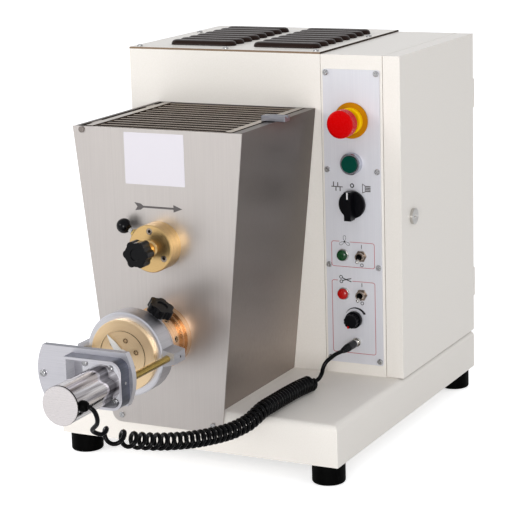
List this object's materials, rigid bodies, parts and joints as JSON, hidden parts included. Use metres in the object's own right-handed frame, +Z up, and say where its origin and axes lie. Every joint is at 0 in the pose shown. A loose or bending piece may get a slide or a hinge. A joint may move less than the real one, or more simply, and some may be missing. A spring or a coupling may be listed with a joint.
{
  "type": "electric pasta maker",
  "caption": "Table-top electric pasta extruder with kneading hopper, grille lid, bronze barrel and die, powered cutting knife and a column of knobs and buttons.",
  "frame": {"origin": "middle of the bounding box of the machine without its cord, on the surface that the feet stand on", "axes": "+Z up, -Y to the front, where the die and the cutter are, +X to the right, where the control column is"},
  "size_m": [0.398, 0.776, 0.513],
  "materials": {
    "cream_paint": "smooth satin powder coat",
    "satin_steel": "satin ground stainless steel",
    "zinc_steel": "bright zinc plated",
    "dark_steel": "polished round bar",
    "gear_steel": "machined and oiled",
    "bronze": "turned bronze",
    "brass": "turned brass",
    "aluminium": "turned and brushed",
    "panel_foil": "satin grey foil on aluminium",
    "black_plastic": "satin black",
    "louver_brown": "satin dark brown",
    "black_rubber": "matt",
    "white_plastic": "matt",
    "chrome": "bright nickel plate",
    "yellow_plastic": "glossy",
    "red_plastic": "glossy",
    "green_lens": "translucent, glossy",
    "dark_lens": "glossy",
    "motor_paint": "grey machine enamel",
    "grey_plastic": "matt"
  },
  "bodies": {
    "machine": {"base_tray": "cream_paint", "feet": "black_rubber", "main_housing": "cream_paint", "top_cover": "cream_paint", "vent_louvers": "louver_brown", "casing_screws": "zinc_steel", "electrical_box": "cream_paint", "control_panel": "panel_foil", "hopper_front": "satin_steel", "hopper_body": "satin_steel", "barrel": "bronze", "mixer_boss": "bronze", "die_ring": "aluminium", "die_plate": "bronze", "die_inserts": "brass", "guide_rods": "brass", "cutter_bracket": "aluminium", "gear_cover": "aluminium", "cutter_motor": "zinc_steel", "cord_gland": "black_rubber", "motor_lead": "black_rubber", "cord_coil": "black_rubber", "plug_lead": "black_rubber", "cord_plug": "black_plastic", "panel_jack": "chrome", "estop_collar": "yellow_plastic", "operator_bodies": "chrome", "pilot_lamps": "dark_lens", "toggle_switches": "chrome", "speed_pot": "zinc_steel", "drive_motor": "motor_paint", "bearing_plate": "gear_steel", "shaft_bearings": "gear_steel", "contactors": "grey_plastic", "mains_gland": "black_plastic", "fan_frame": "black_plastic", "lid_rod": "satin_steel", "pin_sleeve": "brass"},
    "lid": {"lid_grille": "dark_steel", "lid_latch": "chrome"},
    "extruding_screw": {"auger": "satin_steel", "auger_gear": "gear_steel"},
    "mixer": {"mixer_shaft": "satin_steel", "mixer_gear": "gear_steel"},
    "motor_pinion": {"drive_pinion": "gear_steel"},
    "knife": {"knife_blade": "white_plastic", "knife_spindle": "zinc_steel"},
    "cutter_drive": {"cutter_pinion": "white_plastic"},
    "pull_pin": {"pull_pin": "black_plastic"},
    "shaft_knob": {"shaft_knob": "black_plastic"},
    "clamp_knob": {"clamp_knob": "black_plastic"},
    "stop_button": {"estop_head": "red_plastic"},
    "start_button": {"start_button": "green_lens"},
    "selector": {"selector_knob": "black_plastic"},
    "fan_lever": {"fan_toggle": "chrome"},
    "cutter_lever": {"cutter_toggle": "chrome"},
    "speed_knob": {"speed_knob": "black_plastic"},
    "side_door": {"side_door": "cream_paint"},
    "door_lock": {"door_lock": "chrome"},
    "fan": {"fan_rotor": "black_plastic"}
  },
  "joints": [
    {"name": "lid_hinge", "type": "hinge", "parent": "machine", "child": "lid", "pos_m": [-0.146, 0.004, 0.4295], "axis": [0, -1, 0], "range_deg": [0, 95]},
    {"name": "screw_turn", "type": "hinge", "parent": "machine", "child": "extruding_screw", "pos_m": [-0.0405, 0.114, 0.173], "axis": [0, 1, 0], "continuous": true},
    {"name": "mixer_turn", "type": "hinge", "parent": "machine", "child": "mixer", "pos_m": [-0.0405, 0.114, 0.289], "axis": [0, 1, 0], "continuous": true},
    {"name": "pinion_turn", "type": "hinge", "parent": "machine", "child": "motor_pinion", "pos_m": [-0.12017, 0.151, 0.219], "axis": [0, 1, 0], "continuous": true},
    {"name": "knife_turn", "type": "hinge", "parent": "machine", "child": "knife", "pos_m": [-0.0405, -0.236, 0.173], "axis": [0, 1, 0], "continuous": true},
    {"name": "cutter_drive_turn", "type": "hinge", "parent": "machine", "child": "cutter_drive", "pos_m": [-0.01304, -0.283, 0.16691], "axis": [0, 1, 0], "continuous": true},
    {"name": "pin_pull", "type": "slide", "parent": "machine", "child": "pull_pin", "axis": [-0.866, 0, 0.5], "range_m": [0, 0.005], "stiffness_N_per_m": 500},
    {"name": "shaft_knob_turn", "type": "hinge", "parent": "machine", "child": "shaft_knob", "pos_m": [-0.0405, -0.152, 0.289], "axis": [0, 1, 0], "range_deg": [0, 360]},
    {"name": "clamp_knob_turn", "type": "hinge", "parent": "machine", "child": "clamp_knob", "pos_m": [-0.01188, -0.1625, 0.21879], "axis": [0.5299, 0, 0.848], "range_deg": [0, 360]},
    {"name": "stop_press", "type": "slide", "parent": "machine", "child": "stop_button", "axis": [0, 1, 0], "range_m": [0, 0.005]},
    {"name": "start_press", "type": "slide", "parent": "machine", "child": "start_button", "axis": [0, 1, 0], "range_m": [0, 0.003], "stiffness_N_per_m": 500},
    {"name": "selector_turn", "type": "hinge", "parent": "machine", "child": "selector", "pos_m": [0.128, 0.108, 0.3102], "axis": [0, 1, 0], "range_deg": [-45, 45]},
    {"name": "fan_lever_tilt", "type": "hinge", "parent": "machine", "child": "fan_lever", "pos_m": [0.1384, 0.108, 0.2415], "axis": [-1, 0, 0], "range_deg": [0, 52]},
    {"name": "cutter_lever_tilt", "type": "hinge", "parent": "machine", "child": "cutter_lever", "pos_m": [0.1384, 0.108, 0.1895], "axis": [-1, 0, 0], "range_deg": [0, 52]},
    {"name": "speed_turn", "type": "hinge", "parent": "machine", "child": "speed_knob", "pos_m": [0.128, 0.104, 0.156], "axis": [0, 1, 0], "range_deg": [0, 300]},
    {"name": "door_hinge", "type": "hinge", "parent": "machine", "child": "side_door", "pos_m": [0.191, 0.384, 0.292], "axis": [0, 0, 1], "range_deg": [0, 110]},
    {"name": "door_lock_turn", "type": "hinge", "parent": "side_door", "child": "door_lock", "pos_m": [0.191, 0.152, 0.291], "axis": [1, 0, 0], "range_deg": [0, 90]},
    {"name": "fan_turn", "type": "hinge", "parent": "machine", "child": "fan", "pos_m": [0.006, 0.364, 0.414], "axis": [0, 1, 0], "continuous": true}
  ],
  "couplings": [
    {"joint": "mixer_turn", "follows": "screw_turn", "ratio": -1.2308},
    {"joint": "pinion_turn", "follows": "screw_turn", "ratio": -2.2857},
    {"joint": "cutter_drive_turn", "follows": "knife_turn", "ratio": -0.66667}
  ]
}
